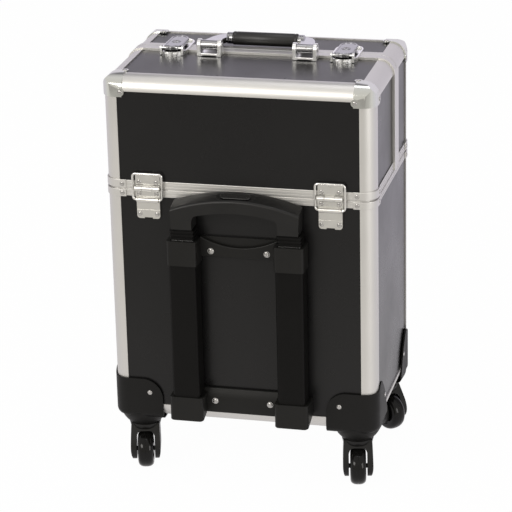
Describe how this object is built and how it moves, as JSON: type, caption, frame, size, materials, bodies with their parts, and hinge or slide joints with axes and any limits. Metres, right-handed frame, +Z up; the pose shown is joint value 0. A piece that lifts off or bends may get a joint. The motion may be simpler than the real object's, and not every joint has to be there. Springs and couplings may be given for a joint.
{
  "type": "rolling grooming case",
  "caption": "Upright hard case with aluminium edge rails, parted hinged lids, key latches, folding carry handle, telescopic trolley and swivel casters.",
  "frame": {"origin": "on the floor, under the middle of the case's bounding box", "axes": "+Z up; -Y is the side with the trolley, which the picture shows; +X to the right seen from that side"},
  "size_m": [0.3486, 0.2671, 0.5475],
  "materials": {
    "panel": "black laminated panel, satin coat",
    "rail_aluminium": "satin anodised extrusion",
    "cap_chrome": "chromed pressed steel",
    "fastener": "nickelled steel heads",
    "hinge_steel": "zinc-plated pressed steel",
    "wire_chrome": "bright drawn wire",
    "latch_chrome": "chromed zinc casting",
    "key_steel": "turned steel plug",
    "guard_plastic": "black moulded plastic, light grain",
    "grip_plastic": "black moulded grip",
    "trolley_plastic": "black moulded plastic",
    "tube_metal": "anodised tube",
    "button_plastic": "black moulded button",
    "fork_plastic": "black moulded fork",
    "wheel_rubber": "black polyurethane wheel"
  },
  "bodies": {
    "case": {"body_near_panel": "panel", "body_far_panel": "panel", "body_side_panels": "panel", "body_floor_panel": "panel", "body_corner_posts": "rail_aluminium", "body_base_rails": "rail_aluminium", "body_rim": "rail_aluminium", "body_seam_caps": "rail_aluminium", "body_rivets": "fastener", "body_hinge_leaves": "hinge_steel", "corner_guards": "guard_plastic", "hinge_pins": "fastener", "caster_sockets": "guard_plastic", "trolley_housings": "trolley_plastic", "trolley_top_bracket": "trolley_plastic", "trolley_foot_bracket": "trolley_plastic", "trolley_screws": "fastener"},
    "near_lid": {"near_lid_front_panel": "panel", "near_lid_top_panel": "panel", "near_lid_side_panels": "panel", "near_lid_rails": "rail_aluminium", "near_lid_rim": "rail_aluminium", "near_lid_split_rim": "rail_aluminium", "near_lid_corner_caps": "cap_chrome", "near_lid_seam_caps": "rail_aluminium", "near_lid_hinge_leaves": "hinge_steel", "near_lid_rivets": "fastener", "handle_brackets": "latch_chrome", "latch_bases": "latch_chrome"},
    "far_lid": {"far_lid_back_panel": "panel", "far_lid_top_panel": "panel", "far_lid_side_panels": "panel", "far_lid_rails": "rail_aluminium", "far_lid_rim": "rail_aluminium", "far_lid_split_rim": "rail_aluminium", "far_lid_corner_caps": "cap_chrome", "far_lid_seam_caps": "rail_aluminium", "far_lid_hinge_leaves": "hinge_steel", "far_lid_rivets": "fastener", "latch_strikes": "latch_chrome"},
    "near_bails": {"near_bails": "wire_chrome"},
    "far_bails": {"far_bails": "wire_chrome"},
    "carry_handle": {"handle_arms": "latch_chrome", "handle_grip": "grip_plastic"},
    "left_latch": {"left_latch_lever": "latch_chrome"},
    "right_latch": {"right_latch_lever": "latch_chrome"},
    "left_key": {"left_key_plug": "key_steel"},
    "right_key": {"right_key_plug": "key_steel"},
    "trolley_mid": {"mid_tubes": "tube_metal"},
    "trolley_inner": {"inner_tubes": "tube_metal", "trolley_grip": "grip_plastic"},
    "trolley_button": {"trolley_button": "button_plastic"},
    "near_left_fork": {"near_left_fork": "fork_plastic"},
    "near_left_wheel": {"near_left_wheel": "wheel_rubber"},
    "near_right_fork": {"near_right_fork": "fork_plastic"},
    "near_right_wheel": {"near_right_wheel": "wheel_rubber"},
    "far_left_fork": {"far_left_fork": "fork_plastic"},
    "far_left_wheel": {"far_left_wheel": "wheel_rubber"},
    "far_right_fork": {"far_right_fork": "fork_plastic"},
    "far_right_wheel": {"far_right_wheel": "wheel_rubber"}
  },
  "joints": [
    {"name": "near_lid", "type": "hinge", "parent": "case", "child": "near_lid", "pos_m": [0, -0.10805, 0.387], "axis": [-1, 0, 0], "range_deg": [-90, 0]},
    {"name": "far_lid", "type": "hinge", "parent": "case", "child": "far_lid", "pos_m": [0, 0.12995, 0.387], "axis": [-1, 0, 0], "range_deg": [0, 90]},
    {"name": "near_bails", "type": "hinge", "parent": "case", "child": "near_bails", "pos_m": [0, -0.10705, 0.372], "axis": [-1, 0, 0], "range_deg": [-67.5, 0]},
    {"name": "far_bails", "type": "hinge", "parent": "case", "child": "far_bails", "pos_m": [0, 0.12895, 0.372], "axis": [-1, 0, 0], "range_deg": [0, 67.5]},
    {"name": "carry_handle", "type": "hinge", "parent": "near_lid", "child": "carry_handle", "pos_m": [0, 0.01095, 0.54], "axis": [1, 0, 0], "range_deg": [0, 180]},
    {"name": "left_latch", "type": "hinge", "parent": "near_lid", "child": "left_latch", "pos_m": [-0.109, 0.00495, 0.5355], "axis": [1, 0, 0], "range_deg": [0, 85]},
    {"name": "left_key", "type": "hinge", "parent": "left_latch", "child": "left_key", "pos_m": [-0.109, 0.02795, 0.5355], "axis": [0, 0, 1], "range_deg": [0, 90]},
    {"name": "right_latch", "type": "hinge", "parent": "near_lid", "child": "right_latch", "pos_m": [0.109, 0.00495, 0.5355], "axis": [1, 0, 0], "range_deg": [0, 85]},
    {"name": "right_key", "type": "hinge", "parent": "right_latch", "child": "right_key", "pos_m": [0.109, 0.02795, 0.5355], "axis": [0, 0, 1], "range_deg": [0, 90]},
    {"name": "trolley_mid", "type": "slide", "parent": "case", "child": "trolley_mid", "axis": [0, 0, 1], "range_m": [0, 0.2]},
    {"name": "trolley_inner", "type": "slide", "parent": "trolley_mid", "child": "trolley_inner", "axis": [0, 0, 1], "range_m": [0, 0.2]},
    {"name": "trolley_button", "type": "slide", "parent": "trolley_inner", "child": "trolley_button", "axis": [0, 0, -1], "range_m": [0, 0.0035], "stiffness_N_per_m": 600},
    {"name": "near_left_swivel", "type": "hinge", "parent": "case", "child": "near_left_fork", "pos_m": [-0.14, -0.07305, 0.068], "axis": [0, 0, 1], "continuous": true},
    {"name": "near_left_roll", "type": "hinge", "parent": "near_left_fork", "child": "near_left_wheel", "pos_m": [-0.13637, -0.0876, 0.024], "axis": [0.9703, 0.2419, 0], "continuous": true},
    {"name": "near_right_swivel", "type": "hinge", "parent": "case", "child": "near_right_fork", "pos_m": [0.14, -0.07305, 0.068], "axis": [0, 0, 1], "continuous": true},
    {"name": "near_right_roll", "type": "hinge", "parent": "near_right_fork", "child": "near_right_wheel", "pos_m": [0.14312, -0.08772, 0.024], "axis": [0.9781, 0.2079, 0], "continuous": true},
    {"name": "far_left_swivel", "type": "hinge", "parent": "case", "child": "far_left_fork", "pos_m": [-0.14, 0.09495, 0.068], "axis": [0, 0, 1], "continuous": true},
    {"name": "far_left_roll", "type": "hinge", "parent": "far_left_fork", "child": "far_left_wheel", "pos_m": [-0.15149, 0.08531, 0.024], "axis": [0.6428, -0.766, 0], "continuous": true},
    {"name": "far_right_swivel", "type": "hinge", "parent": "case", "child": "far_right_fork", "pos_m": [0.14, 0.09495, 0.068], "axis": [0, 0, 1], "continuous": true},
    {"name": "far_right_roll", "type": "hinge", "parent": "far_right_fork", "child": "far_right_wheel", "pos_m": [0.15149, 0.08531, 0.024], "axis": [0.6428, 0.766, 0], "continuous": true}
  ],
  "couplings": [
    {"joint": "far_lid", "follows": "near_lid", "ratio": -1},
    {"joint": "near_bails", "follows": "near_lid", "ratio": 0.75},
    {"joint": "far_bails", "follows": "near_lid", "ratio": -0.75}
  ]
}
